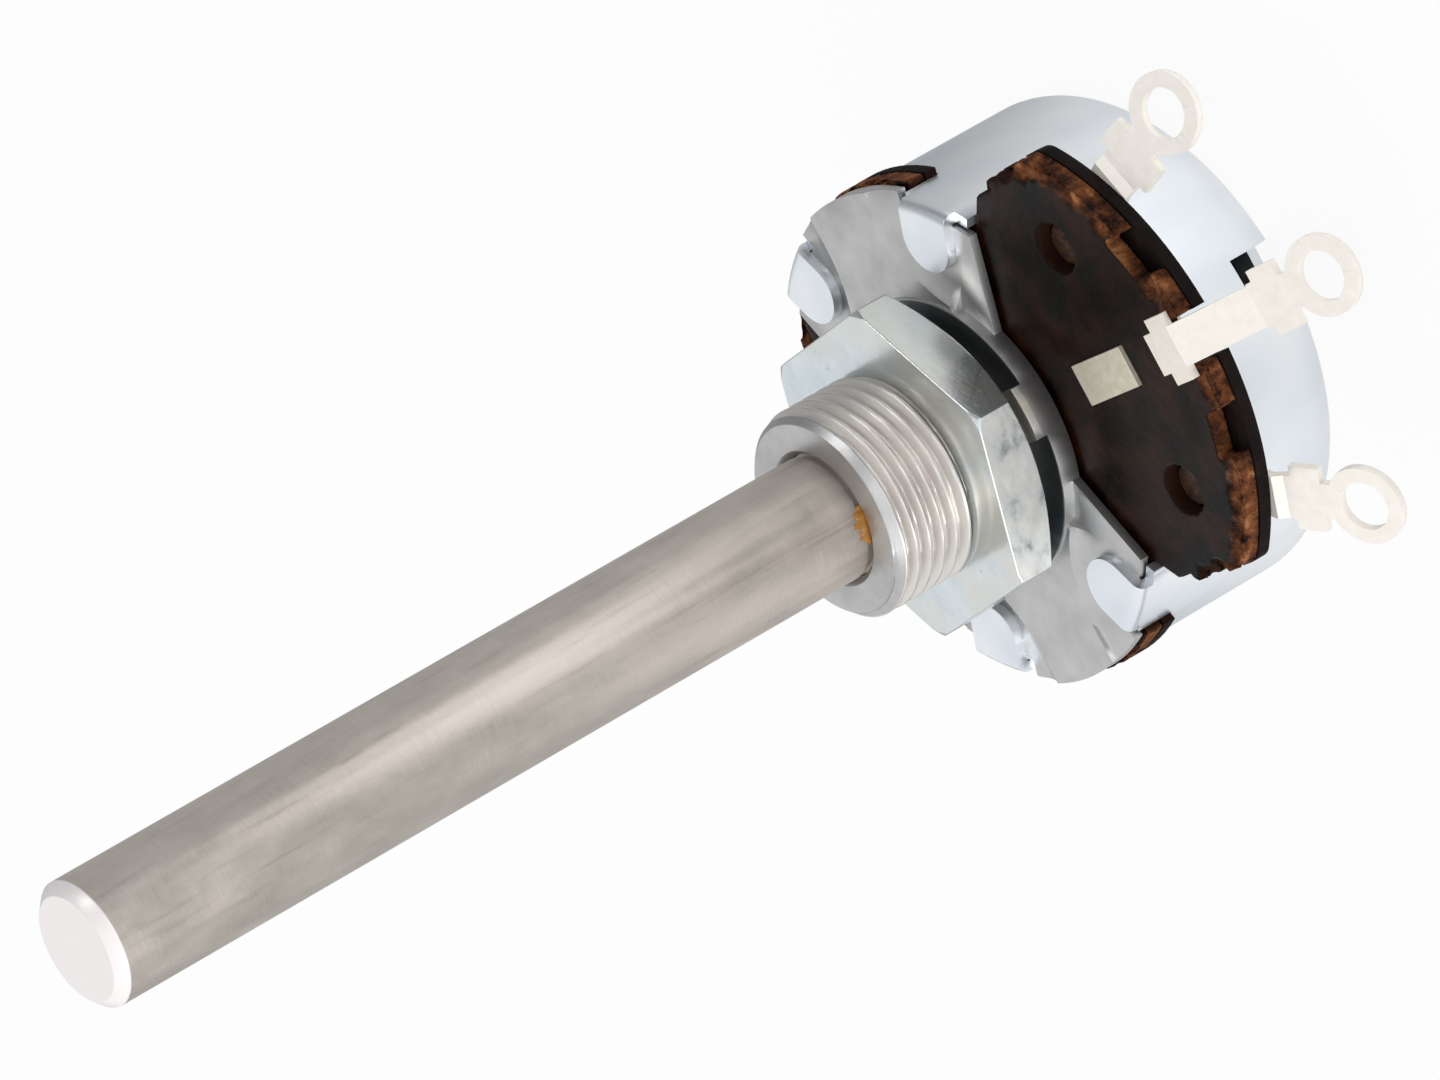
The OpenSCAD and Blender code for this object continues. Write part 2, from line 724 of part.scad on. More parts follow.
// Round bar with two flats, used for the tail and, a little larger, for the holes that it drives.
module tail(h, play) {
    intersection() {
        cylinder(r = tail_d / 2 + play, h = h);
        translate([-far / 2, -tail_flats / 2 - play, 0]) cube([far, tail_flats + 2 * play, h]);
    }
}

module retaining_ring() {
    inner = shaft_r - groove_depth + fit_gap;
    color([0.45, 0.47, 0.5]) translate([0, 0, -ring_back]) linear_extrude(ring_t) difference() {
        circle(ring_r);
        circle(inner);
        translate([-inner * 0.8, 0]) square([inner * 1.6, far]);
    }
}

module rotor_disc() {
    color([0.25, 0.13, 0.09]) difference() {
        union() {
            translate([0, 0, -rotor_back]) cylinder(r = rotor_r, h = rotor_t);
            translate([0, 0, -stop_front]) cylinder(r = boss_r, h = stop_front - rotor_back + eps);
            for (a = [0:60:300]) rotate(a) translate([0, -0.4, -rotor_back - 1])
                cube([rotor_r - 1, 0.8, 1 + eps]);
        }
        translate([0, 0, -far]) tail(far, fit_gap);
        for (s = [-1, 1]) translate([s * wiper_rivet_x, wiper_rivet_y, -far])
            cylinder(r = rivet_r + fit_gap, h = far);
    }
}

wiper_rivet_x = (rotor_r - rivet_in) * cos(30);
wiper_rivet_y = -(rotor_r - rivet_in) * sin(30);

module stop_plate() {
    color([0.7, 0.72, 0.73]) translate([0, 0, -stop_front - stop_t]) difference() {
        linear_extrude(stop_t) {
            circle(boss_r);
            intersection() {
                circle(can_in - 0.7);
                wedge(90 - sector_half, 90 + sector_half);
            }
        }
        translate([0, 0, -eps]) tail(stop_t + 2 * eps, fit_gap);
    }
}

// A spring finger seen from its side: a rising leaf, a flat pad at the contact's height, a turned-down tip.
module finger_side(lead, rise, pad) {
    top = rise - wiper_t;
    polygon([[-0.4, 0], [0.1, 0], [lead, top], [lead + pad, top], [lead + pad + 0.35, top - 0.3],
             [lead + pad + 0.5, top - 0.1], [lead + pad + 0.1, rise], [lead - 0.1, rise], [0, wiper_t],
             [-0.4, wiper_t]]);
}

// A finger starts at the origin, runs along +Y and has its middle line on the Y axis.
module finger(w, lead, rise, pad) {
    translate([-w / 2, 0, 0]) rotate([90, 0, 90]) linear_extrude(w) finger_side(lead, rise, pad);
}

// Spring sheet on the rotor's front, with a finger lanced out for the track's brush and one for the collector.
module wiper_spring() {
    track_rise = rotor_gap - print_t - fit_gap - brush_h;
    collector_rise = rotor_gap - collector_t - fit_gap;
    brush_w = 2 * brush_r + 0.6;
    finger_w = collector_w - 0.4;
    lead = 2.2;
    color([0.8, 0.62, 0.35]) translate([0, 0, -rotor_front]) {
        linear_extrude(wiper_t) difference() {
            circle(rotor_r - 0.4);
            circle(shaft_r + 0.5);
            translate([-brush_w / 2 - 0.3, brush_mid - brush_w / 2 - lead - 0.1])
                square([brush_w + 0.6, far]);
            translate([-finger_w / 2 - 0.3, -collector_mid - lead - 0.4])
                square([finger_w + 0.6, lead + 1.1]);
            for (s = [-1, 1]) translate([s * wiper_rivet_x, wiper_rivet_y]) circle(rivet_r + fit_gap);
        }
        translate([0, brush_mid - brush_w / 2 - lead, 0]) finger(brush_w, lead, track_rise, brush_w);
        translate([0, -collector_mid - lead - 0.3, 0]) finger(finger_w, lead, collector_rise, 0.6);
    }
}

module contact_brush() {
    color([0.16, 0.16, 0.17]) translate([0, brush_mid, -element_back - print_t - fit_gap - brush_h])
        cylinder(r = brush_r, h = brush_h);
}

module wiper_rivets() {
    head = 0.35;
    color([0.78, 0.7, 0.5]) for (s = [-1, 1]) translate([s * wiper_rivet_x, wiper_rivet_y, 0]) {
        translate([0, 0, -rotor_back - head]) cylinder(r = rivet_r, h = rotor_t + wiper_t + 2 * head);
        translate([0, 0, -rotor_front + wiper_t]) cylinder(r = rivet_r + 0.3, h = head);
        translate([0, 0, -rotor_back - head]) cylinder(r = rivet_r + 0.3, h = head);
    }
}

mounting_plate();
hex_nut();
can_cover();
terminal_board();
element_board();
carbon_track();
end_pads();
collector_ring();
left_lug();
centre_lug();
right_lug();
lug_rivets();
thrust_washer();
shaft();
retaining_ring();
rotor_disc();
stop_plate();
wiper_spring();
contact_brush();
wiper_rivets();
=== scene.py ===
# %% [markdown]
# # A rotary potentiometer, dressed for a studio picture
# The solids come ready made from the part's source, so this lesson adds what the eye reads next: a finish
# for each piece, soft edges on the metal, the thread on the bushing, the torn rim of the board and a smear
# of grease. First we load the solids. They stay where they are, and we keep their outer box, because the
# dressed part may not grow out of it.

# %% Load the solids
import math
import random

import bmesh
import bpy
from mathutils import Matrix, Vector, noise


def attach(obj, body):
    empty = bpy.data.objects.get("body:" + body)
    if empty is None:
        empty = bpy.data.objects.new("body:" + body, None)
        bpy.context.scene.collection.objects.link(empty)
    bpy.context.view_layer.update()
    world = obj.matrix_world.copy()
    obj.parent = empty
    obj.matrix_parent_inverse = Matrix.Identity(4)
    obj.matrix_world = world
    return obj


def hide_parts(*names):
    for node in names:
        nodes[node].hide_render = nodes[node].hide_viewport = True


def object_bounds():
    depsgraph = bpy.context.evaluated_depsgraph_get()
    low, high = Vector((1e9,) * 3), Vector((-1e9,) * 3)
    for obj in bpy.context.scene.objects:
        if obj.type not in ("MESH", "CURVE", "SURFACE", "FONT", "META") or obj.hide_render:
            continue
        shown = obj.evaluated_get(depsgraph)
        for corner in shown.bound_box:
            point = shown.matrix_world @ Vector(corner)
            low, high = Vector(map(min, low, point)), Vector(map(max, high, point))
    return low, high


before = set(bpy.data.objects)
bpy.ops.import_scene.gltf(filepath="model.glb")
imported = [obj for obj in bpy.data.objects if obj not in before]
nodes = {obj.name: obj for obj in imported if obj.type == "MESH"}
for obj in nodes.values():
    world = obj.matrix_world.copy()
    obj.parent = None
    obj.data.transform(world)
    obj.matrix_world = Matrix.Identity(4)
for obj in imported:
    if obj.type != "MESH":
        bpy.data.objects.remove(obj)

MM = 0.001
cad_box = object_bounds()
print("solids:", len(nodes), "box in mm:", [[round(c / MM, 1) for c in corner] for corner in cad_box])

# %% [markdown]
# Colours are easiest to pick as hex values, the way a screen shows them. Blender's shaders work in linear
# light, so one function turns the first into the second.

# %% Colours


def linear(hex_code):
    """An sRGB hex colour as linear red, green, blue and alpha."""
    parts = [int(hex_code[i:i + 2], 16) / 255 for i in (1, 3, 5)]
    return tuple(c / 12.92 if c <= 0.04045 else ((c + 0.055) / 1.055) ** 2.4 for c in parts) + (1.0,)


print("mid grey in linear light:", round(linear("#808080")[0], 3))

# %% [markdown]
# A procedural material is a small network of nodes. One helper adds a node of any kind with its settings and
# its links, so a network reads as a list of steps. An input can be another node, one of its sockets, a
# number or a hex colour. Inputs go by name, or by number where a node has several of one name: on a colour
# mix 0 is the factor, 6 and 7 are the two colours, and output 2 is the result.

# %% One helper for nodes


def feed(tree, node, inputs):
    """Links a node's inputs to other nodes or sockets, or sets them to a number or a hex colour."""
    for socket, value in inputs.items():
        if isinstance(value, bpy.types.Node):
            value = value.outputs[0]
        if isinstance(value, bpy.types.NodeSocket):
            tree.links.new(value, node.inputs[socket])
        else:
            node.inputs[socket].default_value = linear(value) if isinstance(value, str) else value


def add(tree, kind, inputs=None, stops=(), **settings):
    """Adds a node, sets its properties, feeds its inputs, and places the stops of a colour ramp."""
    node = tree.nodes.new("ShaderNode" + kind)
    for name, value in settings.items():
        setattr(node, name, value)
    feed(tree, node, inputs or {})
    if stops:
        elements = node.color_ramp.elements
        while len(elements) < len(stops):
            elements.new(0.5)
        for element, (position, colour) in zip(elements, stops):
            element.position = position
            element.color = linear(colour)
    return node


print("node helper ready")

# %% [markdown]
# Each material starts from typical values for metal, gloss and reflection, which a pattern may refine later.
# It also gets the piece's own coordinates in millimetres, so that every pattern is scaled from a real size.
# The pattern is always the same one, noise, because castings, worn plate, paper and grease are all
# irregular. A last helper hands the finished material to the pieces that wear it.

# %% A material's start and its pattern
finishes = {}


def start(name, metallic, roughness, specular=0.5):
    """A new material: its node tree, its main shader, and the piece's coordinates in millimetres."""
    material = bpy.data.materials.new(name)
    material.use_nodes = True
    tree = material.node_tree
    shader = tree.nodes["Principled BSDF"]
    feed(tree, shader, {"Metallic": metallic, "Roughness": roughness, "Specular IOR Level": specular})
    place = add(tree, "TexCoord").outputs["Object"]
    in_mm = add(tree, "Mapping", {"Vector": place, "Scale": (1 / MM, 1 / MM, 1 / MM)})
    return material, tree, shader, in_mm


def grain(tree, in_mm, size, stretch=(1, 1, 1), detail=4, rough=0.55):
    """Noise whose blotches are about size millimetres across, drawn out along an axis by stretch."""
    squeezed = add(tree, "Mapping", {"Vector": in_mm, "Scale": tuple(1 / (size * s) for s in stretch)})
    return add(tree, "TexNoise", {"Vector": squeezed, "Scale": 1.0, "Detail": detail, "Roughness": rough})


def dress(material, *pieces):
    """Gives the material to the solids named, and notes it down."""
    for name in pieces:
        finishes[name] = material
        for slot in nodes[name].material_slots:
            slot.material = material
    print(material.name, "on", ", ".join(pieces))


print("material helpers ready")

# %% [markdown]
# The shaft is drawn steel, turned to size. A lathe leaves fine rings round it, and handling leaves a faint
# mottling and darker drag marks along it. The rings break a highlight into a soft streak along the shaft.
# Real rings are a few hundredths of a millimetre apart; they are drawn at about 0.15 mm here so that they
# can be seen at all. The end with its chamfer is freshly cut, and it is painted nearly white and less
# metallic: a painted highlight where the end faces the light. Towards the bushing the shaft has been rubbed
# duller.

# %% Turned steel
SHAFT_END, CHAMFER = 50.0, 0.5
DULL_AT, CLEAN_AT = 9.0, 24.0


def turned_steel():
    """Satin steel with rings, mottling and drag marks, and a cut end painted bright as a highlight."""
    material, tree, shader, in_mm = start("turned_steel", metallic=0.85, roughness=0.4)
    rings = grain(tree, in_mm, size=0.15, stretch=(14, 14, 1), detail=3)
    mottle = grain(tree, in_mm, size=1.3, stretch=(1, 1, 2.2), detail=5, rough=0.6)
    drag = grain(tree, in_mm, size=0.35, stretch=(1, 1, 18))
    height = add(tree, "SeparateXYZ", {0: in_mm}).outputs["Z"]
    patchy = add(tree, "ValToRGB", {"Fac": mottle}, ((0.32, "#cbc3ba"), (0.68, "#e8dfd7")))
    ringed = add(tree, "MapRange", {"Value": rings, "From Min": 0.3, "From Max": 0.7})
    tone = add(tree, "Mix", {0: ringed, 6: patchy, 7: "#dad1c8"}, data_type="RGBA").outputs[2]
    dragged = add(tree, "MapRange", {"Value": drag, "From Min": 0.58, "From Max": 0.75, "To Max": 0.35})
    tone = add(tree, "Mix", {0: dragged, 6: tone, 7: "#a3988c"}, data_type="RGBA").outputs[2]
    # The cut end and its chamfer are painted near white and less metallic: a painted highlight.
    cut = add(tree, "MapRange", {"Value": height, "From Min": SHAFT_END - CHAMFER - 0.06,
                                 "From Max": SHAFT_END - CHAMFER})
    tone = add(tree, "Mix", {0: cut, 6: tone, 7: "#f6f0ee"}, data_type="RGBA").outputs[2]
    metal = add(tree, "MapRange", {"Value": cut, "To Min": 0.85, "To Max": 0.2})
    satin = add(tree, "MapRange", {"Value": mottle, "From Min": 0.3, "From Max": 0.75,
                                   "To Min": 0.32, "To Max": 0.46})
    rubbed = add(tree, "MapRange", {"Value": height, "From Min": DULL_AT, "From Max": CLEAN_AT,
                                    "To Min": 0.16, "To Max": 0.0})
    roughness = add(tree, "Math", {0: satin, 1: rubbed}, operation="ADD")
    turned = add(tree, "Bump", {"Height": rings, "Distance": 0.006 * MM})
    relief = add(tree, "Bump", {"Height": mottle, "Distance": 0.03 * MM, "Normal": turned})
    feed(tree, shader, {"Base Color": tone, "Metallic": metal, "Roughness": roughness, "Normal": relief})
    return material


dress(turned_steel(), "shaft")

# %% [markdown]
# The plate and its bushing are one zinc die-casting. A casting cools against a fine-grained mould, so the
# skin is satin and slightly cloudy, greyer than plated steel. The grain is about 0.12 mm. The thread was cut
# afterwards and is lighter and warmer than the skin. On the hub's face, under the nut, the zinc is painted
# dark grey: painted shade and a painted dark reflection of the nut's underside. Height and radius tell the
# three apart, so nothing has to be painted by hand.

# %% Die-cast zinc
HUB_RADIUS = 6.93
THREAD_MIDDLE, THREAD_HALF = 3.9, 3.7


def diecast_zinc():
    """Satin, cloudy zinc with a lighter cut thread and painted shade on the hub's face under the nut."""
    material, tree, shader, in_mm = start("diecast_zinc", metallic=0.95, roughness=0.4)
    cloud = grain(tree, in_mm, size=1.8, detail=5, rough=0.6)
    skin = grain(tree, in_mm, size=0.12, detail=3)
    height = add(tree, "SeparateXYZ", {0: in_mm}).outputs["Z"]
    flat = add(tree, "VectorMath", {0: in_mm, 1: (1, 1, 0)}, operation="MULTIPLY")
    radius = add(tree, "VectorMath", {0: flat}, operation="LENGTH").outputs["Value"]
    tone = add(tree, "ValToRGB", {"Fac": cloud}, ((0.25, "#b9b8b7"), (0.5, "#c4c3c2"), (0.8, "#cfcecd")))
    threaded = add(tree, "Math", {0: height, 1: THREAD_MIDDLE, 2: THREAD_HALF}, operation="COMPARE")
    tone = add(tree, "Mix", {0: threaded, 6: tone, 7: "#e5e0da"}, data_type="RGBA").outputs[2]
    # Under the nut the hub's face is painted dark grey: painted shade and a painted dark reflection of the
    # nut.
    on_hub = add(tree, "MapRange", {"Value": radius, "From Min": HUB_RADIUS - 0.12,
                                    "From Max": HUB_RADIUS - 0.06, "To Min": 1.0, "To Max": 0.0})
    on_face = add(tree, "Math", {0: height, 1: 0.0, 2: 0.07}, operation="COMPARE")
    tint_zone = add(tree, "Math", {0: on_hub, 1: on_face}, operation="MULTIPLY")
    tone = add(tree, "Mix", {0: tint_zone, 6: tone, 7: "#63676a"}, data_type="RGBA").outputs[2]
    satin = add(tree, "MapRange", {"Value": cloud, "From Min": 0.3, "From Max": 0.7,
                                   "To Min": 0.43, "To Max": 0.35})
    cast = add(tree, "Bump", {"Height": skin, "Distance": 0.006 * MM})
    relief = add(tree, "Bump", {"Height": cloud, "Distance": 0.006 * MM, "Normal": cast})
    feed(tree, shader, {"Base Color": tone, "Roughness": satin, "Normal": relief})
    return material


dress(diecast_zinc(), "mounting_plate")

# %% [markdown]
# The nut is steel with bright zinc plate: cooler and shinier than the casting, with a bluish cast and here
# and there a warmer film. A spanner and its neighbours in the box have scratched it, so it carries fine lines
# that run round its sides. One side is painted dull and white, a painted highlight where it meets the light,
# over scuffs with dark patches where the plate wore through. The direction that a side faces tells which
# one it is.

# %% Zinc-plated steel
# The side that faces this way is painted white and less metallic: a painted highlight over real scuffs.
LIT_AND_SCUFFED_SIDE = (-0.4, -0.916, 0)


def zinc_plate():
    """Bright, bluish zinc plate, scratched, with one side painted white as a highlight over scuffs."""
    material, tree, shader, in_mm = start("zinc_plated_steel", metallic=0.85, roughness=0.22)
    scratches = grain(tree, in_mm, size=0.07, stretch=(12, 12, 1), rough=0.65)
    cloud = grain(tree, in_mm, size=1.2, rough=0.6)
    tint_zone = grain(tree, in_mm, size=4.0, detail=2, rough=0.4)
    patches = grain(tree, in_mm, size=1.5, stretch=(1, 1, 0.6), detail=5)
    plate = add(tree, "ValToRGB", {"Fac": cloud}, ((0.25, "#d0d9de"), (0.55, "#dce4e7"), (0.8, "#e7ecec")))
    warm = add(tree, "MapRange", {"Value": tint_zone, "From Min": 0.4, "From Max": 0.6, "To Max": 0.7})
    plate = add(tree, "Mix", {0: warm, 6: plate, 7: "#dddcd4"}, data_type="RGBA").outputs[2]
    facing = add(tree, "TexCoord").outputs["Normal"]
    toward = add(tree, "VectorMath", {0: facing, 1: LIT_AND_SCUFFED_SIDE}, operation="DOT_PRODUCT").outputs["Value"]
    # One side is painted white and less metallic: a painted highlight, with scuffs and dark patches on it.
    rubbed = add(tree, "MapRange", {"Value": toward, "From Min": 0.9, "From Max": 0.96})
    scuffs_and_highlight = add(tree, "ValToRGB", {"Fac": patches},
                  ((0.3, "#6e7477"), (0.37, "#b4b9b8"), (0.46, "#dcdedb"), (0.7, "#f3f3ee")))
    tone = add(tree, "Mix", {0: rubbed, 6: plate, 7: scuffs_and_highlight}, data_type="RGBA").outputs[2]
    scored = add(tree, "MapRange", {"Value": scratches, "From Min": 0.66, "From Max": 0.78, "To Max": 0.6})
    tone = add(tree, "Mix", {0: scored, 6: tone, 7: "#9aa4aa"}, data_type="RGBA").outputs[2]
    metal = add(tree, "MapRange", {"Value": rubbed, "To Min": 0.85, "To Max": 0.2})
    gloss = add(tree, "MapRange", {"Value": scratches, "From Min": 0.35, "From Max": 0.7,
                                   "To Min": 0.16, "To Max": 0.28})
    lines = add(tree, "Bump", {"Height": scratches, "Distance": 0.002 * MM})
    relief = add(tree, "Bump", {"Height": cloud, "Distance": 0.012 * MM, "Normal": lines})
    feed(tree, shader, {"Base Color": tone, "Metallic": metal, "Roughness": gloss, "Normal": relief})
    return material


dress(zinc_plate(), "hex_nut")

# %% [markdown]
# The cover is drawn from tinned sheet. Drawing stretches the wall, so it looks smooth and soft, pale
# blue-grey, with a shallow waviness a few millimetres long and faint lines in the direction of the draw.

# %% Tinned sheet


def tinned_sheet():
    """Smooth, pale, bluish tin on drawn sheet."""
    material, tree, shader, in_mm = start("tinned_sheet", metallic=0.9, roughness=0.32)
    wave = grain(tree, in_mm, size=4.0, stretch=(1, 1, 1.5), detail=2, rough=0.4)
    draw_lines = grain(tree, in_mm, size=0.1, stretch=(1, 1, 20), detail=3)
    tone = add(tree, "ValToRGB", {"Fac": wave}, ((0.3, "#e0e7ed"), (0.7, "#f2f5f8")))
    satin = add(tree, "MapRange", {"Value": draw_lines, "From Min": 0.3, "From Max": 0.7,
                                   "To Min": 0.3, "To Max": 0.35})
    relief = add(tree, "Bump", {"Height": wave, "Distance": 0.03 * MM})
    feed(tree, shader, {"Base Color": tone, "Roughness": satin, "Normal": relief})
    return material


dress(tinned_sheet(), "can_cover")

# %% [markdown]
# The boards are paper laminate with phenolic resin. Punching tears their outer rim, which is made of two
# arcs: the round of the board itself, and the round of the apron that carries the lugs. A point lies near the
# rim only where both arcs are near or already passed, so the lesser of the two readings decides.

# %% Near the boards' rim
APRON_CENTRE, APRON_RADIUS = -6.07, 12.6
BOARD_RADIUS = 12.1


def near_the_rim(tree, in_mm):
    """Nothing well inside the board, rising to about 0.7 at its outer rim."""
    flat = add(tree, "VectorMath", {0: in_mm, 1: (1, 1, 0)}, operation="MULTIPLY")
    from_apron = add(tree, "VectorMath", {0: flat, 1: (0, APRON_CENTRE, 0)}, operation="DISTANCE")
    from_middle = add(tree, "VectorMath", {0: flat}, operation="LENGTH")
    apron = add(tree, "MapRange", {"Value": from_apron.outputs["Value"], "From Min": APRON_RADIUS - 1.5,
                                   "From Max": APRON_RADIUS - 0.2, "To Max": 0.75})
    board = add(tree, "MapRange", {"Value": from_middle.outputs["Value"], "From Min": BOARD_RADIUS - 1.0,
                                   "From Max": BOARD_RADIUS, "To Max": 0.7})
    return add(tree, "Math", {0: apron, 1: board}, operation="MINIMUM")


print("apron reaches to y =", round(APRON_CENTRE - APRON_RADIUS, 2), "mm")

# %% [markdown]
# The pressed face of the laminate is dark brown with a soft gloss, and the waviness of the paper shows in
# it. A punched edge is torn paper and resin: rough, dull and amber. The material tells the two apart by the
# direction that the surface faces. Near the rim the amber creeps onto the face in chips, which noise places.
# Where the mesh itself is torn, further down, it says so with an attribute of that name. Walls away from the
# rim, such as those of the holes, are painted dark brown: painted shade in the holes. The track's board is
# the black kind.

# %% Phenolic laminate
AMBER_EDGE = ((0.36, "#170b06"), (0.46, "#472717"), (0.56, "#764629"), (0.66, "#a5724a"), (0.76, "#d6b08a"))
BLACK_EDGE = ((0.3, "#0c0807"), (0.6, "#1d1411"), (0.8, "#3a261b"))


def phenolic(name, face_dark, face_light, edge_stops, chips):
    """Pressed paper and resin; chips says how far the chips near the rim turn to the edge's colour."""
    material, tree, shader, in_mm = start(name, metallic=0.0, roughness=0.4, specular=0.12)
    paper = grain(tree, in_mm, size=2.2, detail=5, rough=0.6)
    fibres = grain(tree, in_mm, size=0.25, detail=5, rough=0.7)
    torn = grain(tree, in_mm, size=1.4, stretch=(1, 1, 1.4), detail=6, rough=0.7)
    rim = near_the_rim(tree, in_mm)
    face = add(tree, "ValToRGB", {"Fac": paper}, ((0.42, face_dark), (0.72, face_light)))
    edge = add(tree, "ValToRGB", {"Fac": torn}, edge_stops)
    # Walls away from the rim are painted dark brown: painted shade in the holes.
    at_rim = add(tree, "MapRange", {"Value": rim, "From Max": 0.2})
    edge = add(tree, "Mix", {0: at_rim, 6: "#2a140a", 7: edge}, data_type="RGBA").outputs[2]
    facing = add(tree, "TexCoord").outputs["Normal"]
    upright = add(tree, "SeparateXYZ", {0: facing}).outputs["Z"]
    upright = add(tree, "Math", {0: upright}, operation="ABSOLUTE")
    wall = add(tree, "MapRange", {"Value": upright, "From Min": 0.85, "From Max": 0.5})
    chip = add(tree, "Math", {0: rim, 1: torn}, operation="ADD")
    chipped = add(tree, "MapRange", {"Value": chip, "From Min": 0.86, "From Max": 0.98, "To Max": chips})
    rough_part = add(tree, "Math", {0: wall, 1: chipped}, operation="MAXIMUM")
    torn_mesh = add(tree, "Attribute", attribute_name="torn").outputs["Fac"]
    rough_part = add(tree, "Math", {0: rough_part, 1: torn_mesh}, operation="MAXIMUM")
    tone = add(tree, "Mix", {0: rough_part, 6: face, 7: edge}, data_type="RGBA").outputs[2]
    dullness = add(tree, "MapRange", {"Value": rough_part, "To Min": 0.36, "To Max": 0.8})
    depth = add(tree, "Math", {0: rough_part, 1: torn}, operation="MULTIPLY")
    pressed = add(tree, "Bump", {"Height": paper, "Distance": 0.05 * MM})
    crumbled = add(tree, "Bump", {"Height": depth, "Distance": 0.25 * MM, "Normal": pressed})
    relief = add(tree, "Bump", {"Height": fibres, "Distance": 0.006 * MM, "Normal": crumbled})
    feed(tree, shader, {"Base Color": tone, "Roughness": dullness, "Normal": relief})
    return material


dress(phenolic("phenolic_paper_board", "#080301", "#2c150b", AMBER_EDGE, chips=0.4), "terminal_board")
dress(phenolic("phenolic_track_board", "#0d0908", "#1c1311", BLACK_EDGE, chips=0.5), "element_board")

# %% [markdown]
# The lugs and the collector are brass strip with tin plate. Tin is soft and almost white, and it dulls to
# satin. Nothing on it is sharp, and small dents blur what it mirrors. The collector is rubbed, so the warm
# tone of the brass comes through a little.

# %% Tinned brass


def tinned_brass(name, dark, middle, light):
    """Soft tin over brass strip, in three near tones."""
    material, tree, shader, in_mm = start(name, metallic=0.4, roughness=0.36)
    dull = grain(tree, in_mm, size=0.6, detail=5, rough=0.6)
    tone = add(tree, "ValToRGB", {"Fac": dull}, ((0.3, dark), (0.6, middle), (0.85, light)))
    satin = add(tree, "MapRange", {"Value": dull, "From Min": 0.3, "From Max": 0.7,
                                   "To Min": 0.42, "To Max": 0.33})
    relief = add(tree, "Bump", {"Height": dull, "Distance": 0.008 * MM})
    feed(tree, shader, {"Base Color": tone, "Roughness": satin, "Normal": relief})
    return material


dress(tinned_brass("tinned_brass", "#f5eee4", "#fbf5ec", "#fffaf3"), "left_lug", "centre_lug", "right_lug")
dress(tinned_brass("rubbed_tin_on_brass", "#c9c1ac", "#d9d2bf", "#eae5d6"), "collector_ring")

# %% [markdown]
# The pieces inside are hardly seen, but each still gets its own finish. One function serves them all: it
# takes the two tones, how metallic and how rough the stuff is, and the size and depth of its grain, both in
# millimetres. The lines below say what each one is and what that gives the eye.

# %% Inner finishes


def plain_finish(name, dark, light, metallic, roughness, size, depth, stretch=(1, 1, 1)):
    """Two tones in one grain, which also changes the gloss and raises the surface."""
    material, tree, shader, in_mm = start(name, metallic, roughness)
    pattern = grain(tree, in_mm, size, stretch)
    tone = add(tree, "ValToRGB", {"Fac": pattern}, ((0.3, dark), (0.7, light)))
    satin = add(tree, "MapRange", {"Value": pattern, "From Min": 0.3, "From Max": 0.7,
                                   "To Min": roughness + 0.05, "To Max": roughness - 0.05})
    relief = add(tree, "Bump", {"Height": pattern, "Distance": depth * MM})
    feed(tree, shader, {"Base Color": tone, "Roughness": satin, "Normal": relief})
    return material


# Printed carbon ink is matt and almost black, and silver ink beside it is a dull pale metal.
dress(plain_finish("screen_printed_carbon", "#101012", "#1c1c1f", 0.0, 0.55, 0.1, 0.004), "carbon_track")
dress(plain_finish("silver_ink", "#a9a9a4", "#d6d6d0", 0.7, 0.5, 0.1, 0.004), "end_pads")
# Moulded polyamide is a waxy cream, and moulded phenolic a smooth dark red-brown.
dress(plain_finish("polyamide", "#d6d0be", "#e9e4d4", 0.0, 0.45, 0.5, 0.004), "thrust_washer")
dress(plain_finish("moulded_phenolic", "#2a120b", "#4a2417", 0.0, 0.35, 0.4, 0.01), "rotor_disc")
# Spring steel under oil is dark and shiny, and stamped steel with zinc plate is a cool light grey.
dress(plain_finish("oiled_spring_steel", "#3e4147", "#6a6f77", 1.0, 0.3, 0.3, 0.004), "retaining_ring")
dress(plain_finish("stamped_zinc_plate", "#9aa4aa", "#c9d1d5", 1.0, 0.3, 0.3, 0.008), "stop_plate")
# Rolled phosphor bronze is a glossy warm gold with lines along the strip, and pressed graphite a soft black.
dress(plain_finish("phosphor_bronze", "#b98a4e", "#dcb47a", 1.0, 0.25, 0.1, 0.004, stretch=(1, 12, 1)),
      "wiper_spring")
dress(plain_finish("pressed_graphite", "#18181a", "#2c2c30", 0.2, 0.6, 0.08, 0.006), "contact_brush")
# Headed brass is yellow. The lugs' rivets lie deep in the board's holes and are painted dark brown: painted
# shade.
dress(plain_finish("riveted_brass", "#a88f56", "#d0b97e", 1.0, 0.35, 0.2, 0.008), "wiper_rivets")
dress(plain_finish("rivet_in_painted_shade", "#0b0402", "#4f3017", 0.3, 0.5, 0.35, 0.05), "lug_rivets")
print("finished solids:", len(finishes), "of", len(nodes))

# %% [markdown]
# No real edge is a knife edge. A narrow bevel catches the light along each corner and makes a solid look
# stamped or cast. The solids' own points stay as they are: a modifier welds and bevels them on the way to
# the picture. The width is what the tool that made the piece leaves, in millimetres.

# %% Soft edges
EDGE_MM = {"mounting_plate": 0.09, "hex_nut": 0.22, "can_cover": 0.07, "element_board": 0.05,
           "left_lug": 0.06, "centre_lug": 0.06, "right_lug": 0.06, "collector_ring": 0.04,
           "shaft": 0.04, "lug_rivets": 0.05}
SAME_POINT = 1e-6


